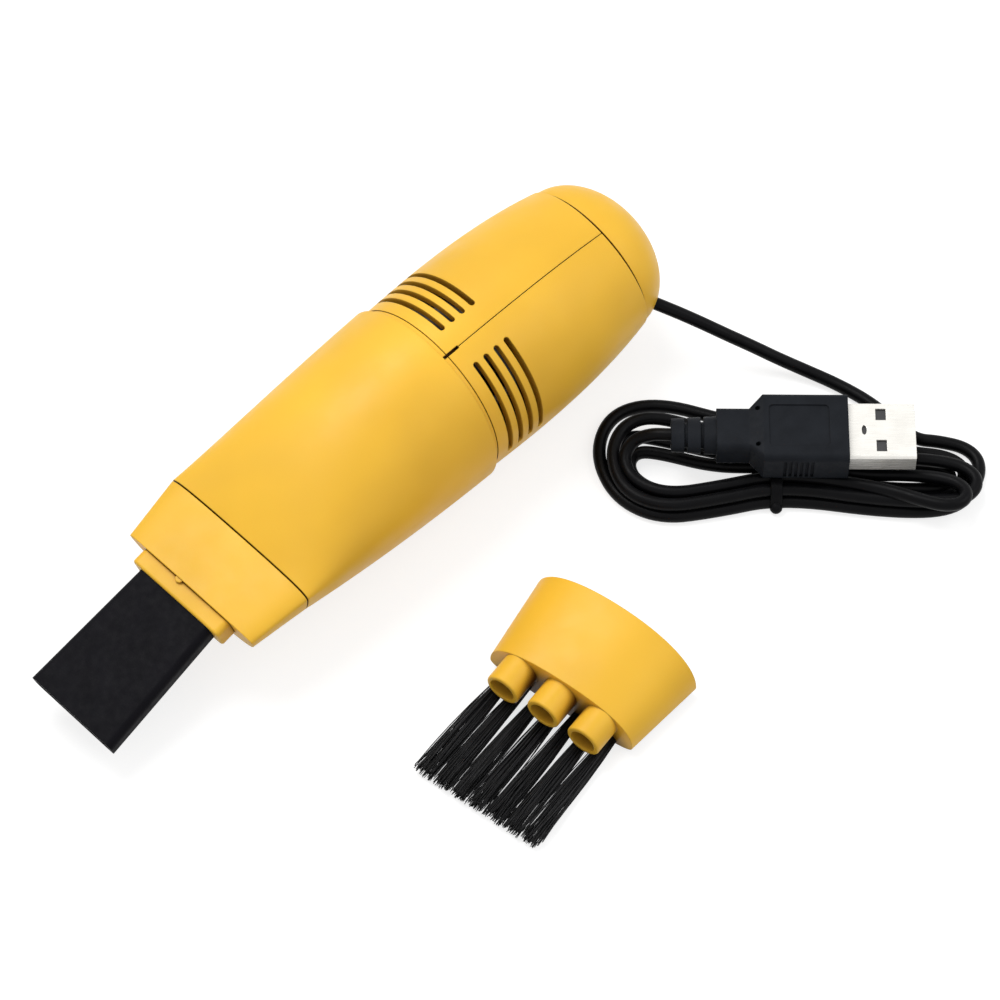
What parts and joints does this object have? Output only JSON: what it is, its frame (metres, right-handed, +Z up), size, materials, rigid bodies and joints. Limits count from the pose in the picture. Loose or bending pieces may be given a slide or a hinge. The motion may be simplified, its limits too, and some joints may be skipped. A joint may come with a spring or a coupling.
{
  "type": "desktop mini vacuum cleaner",
  "caption": "Hand-held desktop vacuum with a pull-off dust cup, crevice nozzle, slotted motor housing, loose brush head and a plug-in lead wound in a hank.",
  "frame": {"origin": "centre of the footprint of the vacuum and its brush head, on the table", "axes": "+X along the vacuum from the nozzle to the tail, +Z up from the table"},
  "size_m": [0.1579, 0.1002, 0.037],
  "materials": {
    "yellow_plastic": "satin moulded plastic",
    "black_plastic": "satin, slightly waxy",
    "filter_mesh": "matt woven mesh",
    "filter_plastic": "matt",
    "seal_rubber": "matt",
    "fan_plastic": "matt",
    "motor_steel": "rolled sheet",
    "shaft_steel": "ground",
    "magnet_ferrite": "matt",
    "bell_plastic": "matt",
    "bronze": "sintered",
    "carbon": "matt",
    "copper": "bright",
    "brass_tin": "tinned",
    "screw_steel": "zinc plated",
    "switch_black": "matt",
    "wire_red": "smooth",
    "wire_black": "smooth",
    "cord_black": "smooth, satin",
    "mold_black": "fine matt grain",
    "plug_nickel": "nickel plated sheet",
    "tongue_plastic": "matt",
    "contact_gold": "gold plated",
    "bristle_nylon": "fine nylon hair"
  },
  "bodies": {
    "motor_unit": {"cup_seal": "seal_rubber", "fan_shroud": "yellow_plastic", "rear_shell_left": "yellow_plastic", "rear_shell_right": "yellow_plastic", "end_cap": "yellow_plastic", "shell_screws": "screw_steel", "motor_mount": "yellow_plastic", "motor_can": "motor_steel", "motor_magnets": "magnet_ferrite", "motor_end_bell": "bell_plastic", "motor_bushes": "bronze", "motor_brushes": "carbon", "motor_terminals": "brass_tin", "motor_screws": "screw_steel", "switch_body": "switch_black", "switch_terminals": "brass_tin", "wire_black": "wire_black", "wire_red": "wire_red", "wire_switch": "wire_red", "cord_grommet": "seal_rubber", "plug_shell": "plug_nickel", "plug_tongue": "tongue_plastic", "plug_contacts": "contact_gold", "plug_overmold": "mold_black", "cord_hank": "cord_black", "cord_tie": "mold_black", "cord_lead": "cord_black", "cord_plug_end": "cord_black"},
    "dust_cup": {"front_housing": "yellow_plastic"},
    "head": {"head_shell": "yellow_plastic"},
    "nozzle": {"nozzle_collar": "yellow_plastic", "crevice_nozzle": "black_plastic"},
    "filter": {"filter_frame": "filter_plastic", "filter_bag": "filter_mesh"},
    "fan": {"motor_shaft": "shaft_steel", "impeller": "fan_plastic", "rotor_core": "motor_steel", "rotor_windings": "copper", "commutator": "copper"},
    "switch": {"switch_knob": "switch_black"},
    "brush": {"brush_head_shell": "yellow_plastic", "bristle_tufts": "bristle_nylon"}
  },
  "joints": [
    {"name": "cup_pull", "type": "slide", "parent": "motor_unit", "child": "dust_cup", "axis": [-1, 0, 0], "range_m": [0, 0.04]},
    {"name": "head_pull", "type": "slide", "parent": "dust_cup", "child": "head", "axis": [-1, 0, 0], "range_m": [0, 0.02]},
    {"name": "nozzle_pull", "type": "slide", "parent": "head", "child": "nozzle", "axis": [-0.9703, 0, -0.2419], "range_m": [0, 0.015]},
    {"name": "filter_pull", "type": "slide", "parent": "motor_unit", "child": "filter", "axis": [-1, 0, 0], "range_m": [0, 0.006]},
    {"name": "fan_spin", "type": "hinge", "parent": "motor_unit", "child": "fan", "pos_m": [0.03668, 0.02747, 0.0185], "axis": [1, 0, 0], "continuous": true},
    {"name": "switch_slide", "type": "slide", "parent": "motor_unit", "child": "switch", "axis": [1, 0, 0], "range_m": [0, 0.004]},
    {"name": "brush_lift", "type": "slide", "parent": "motor_unit", "child": "brush", "axis": [0, 0, 1], "range_m": [0, 0.05]}
  ]
}
